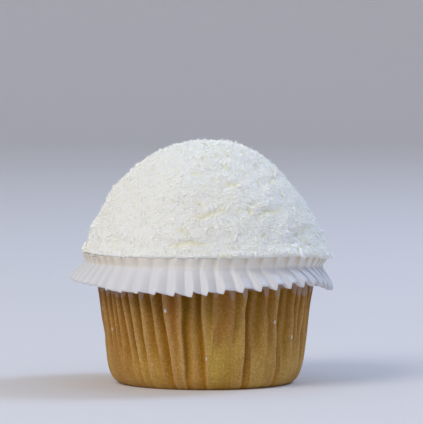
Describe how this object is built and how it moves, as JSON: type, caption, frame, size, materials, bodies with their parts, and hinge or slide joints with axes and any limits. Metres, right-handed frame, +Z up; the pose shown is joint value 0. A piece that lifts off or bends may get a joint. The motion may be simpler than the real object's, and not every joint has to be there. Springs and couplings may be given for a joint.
{
  "type": "cupcake",
  "caption": "Cupcake: a sponge in a pleated paper case with a crushed frill, under a tall dome of white icing coated in fine coconut.",
  "frame": {"origin": "centre of the flat base of the paper case", "axes": "+Z up through the middle of the dome, front towards -Y, +X to the right as seen from the front"},
  "size_m": [0.0739, 0.074, 0.0692],
  "materials": {
    "paper": "thin white baking paper, stained golden brown by the cake inside below the frill, clean and white on the frill",
    "sponge": "baked golden sponge with an open matt crumb",
    "icing": "soft white icing under a matt coat of desiccated coconut"
  },
  "bodies": {
    "root": {"paper_case": "paper", "cake": "sponge", "icing": "icing"}
  },
  "joints": []
}
